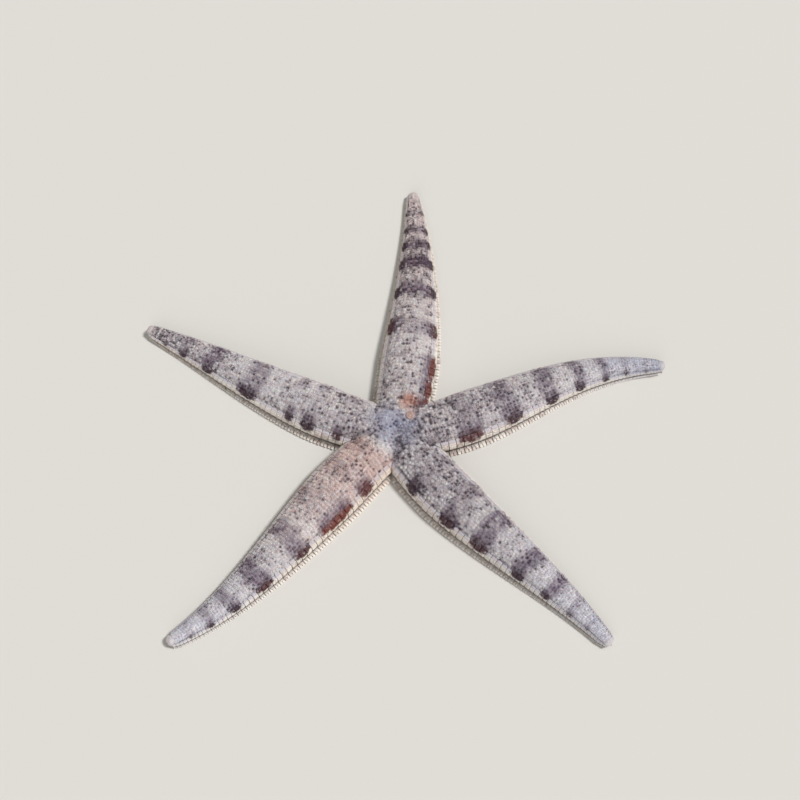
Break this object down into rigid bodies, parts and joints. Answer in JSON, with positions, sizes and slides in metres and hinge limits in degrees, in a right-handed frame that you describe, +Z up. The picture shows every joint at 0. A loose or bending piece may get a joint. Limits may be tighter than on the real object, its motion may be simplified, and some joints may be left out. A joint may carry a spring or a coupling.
{
  "type": "sand star (starfish)",
  "caption": "Life-size still model of a sand star lying flat: long tapering arms with plated, spine-fringed margins, grooved undersides and a small disc with the mouth below.",
  "frame": {"origin": "on the floor, under the middle of the outline seen from above", "axes": "+Z up, from the mouth side to the back; +Y the way arm 1 points; +X towards the tip of arm 2"},
  "size_m": [0.1268, 0.1222, 0.0074],
  "materials": {
    "skin": "matt, dry-looking grey-lavender back of fine paxillae with purple-brown cross bands",
    "marginal_plates": "granular cream plates with dark maroon blotches, and white flat spines",
    "madreporite": "matt, pale, finely furrowed",
    "mouth_frame": "matt cream plates and spines",
    "tube_feet": "moist, pale yellowish flesh",
    "end_plate": "matt bluish white with a small rusty eye spot"
  },
  "bodies": {
    "root": {"arm_1_base": "skin", "arm_1_margin_left_base": "marginal_plates", "arm_1_margin_right_base": "marginal_plates", "arm_1_middle": "skin", "arm_1_margin_left_middle": "marginal_plates", "arm_1_margin_right_middle": "marginal_plates", "arm_1_tip": "skin", "arm_1_margin_left_tip": "marginal_plates", "arm_1_margin_right_tip": "marginal_plates", "arm_1_tube_feet": "tube_feet", "arm_1_eye": "end_plate", "arm_2_base": "skin", "arm_2_margin_left_base": "marginal_plates", "arm_2_margin_right_base": "marginal_plates", "arm_2_middle": "skin", "arm_2_margin_left_middle": "marginal_plates", "arm_2_margin_right_middle": "marginal_plates", "arm_2_tip": "skin", "arm_2_margin_left_tip": "marginal_plates", "arm_2_margin_right_tip": "marginal_plates", "arm_2_tube_feet": "tube_feet", "arm_2_eye": "end_plate", "arm_3_base": "skin", "arm_3_margin_left_base": "marginal_plates", "arm_3_margin_right_base": "marginal_plates", "arm_3_middle": "skin", "arm_3_margin_left_middle": "marginal_plates", "arm_3_margin_right_middle": "marginal_plates", "arm_3_tip": "skin", "arm_3_margin_left_tip": "marginal_plates", "arm_3_margin_right_tip": "marginal_plates", "arm_3_tube_feet": "tube_feet", "arm_3_eye": "end_plate", "arm_4_base": "skin", "arm_4_margin_left_base": "marginal_plates", "arm_4_margin_right_base": "marginal_plates", "arm_4_middle": "skin", "arm_4_margin_left_middle": "marginal_plates", "arm_4_margin_right_middle": "marginal_plates", "arm_4_tip": "skin", "arm_4_margin_left_tip": "marginal_plates", "arm_4_margin_right_tip": "marginal_plates", "arm_4_tube_feet": "tube_feet", "arm_4_eye": "end_plate", "arm_5_base": "skin", "arm_5_margin_left_base": "marginal_plates", "arm_5_margin_right_base": "marginal_plates", "arm_5_middle": "skin", "arm_5_margin_left_middle": "marginal_plates", "arm_5_margin_right_middle": "marginal_plates", "arm_5_tip": "skin", "arm_5_margin_left_tip": "marginal_plates", "arm_5_margin_right_tip": "marginal_plates", "arm_5_tube_feet": "tube_feet", "arm_5_eye": "end_plate", "disc": "skin", "madreporite": "madreporite", "mouth": "mouth_frame"}
  },
  "joints": []
}
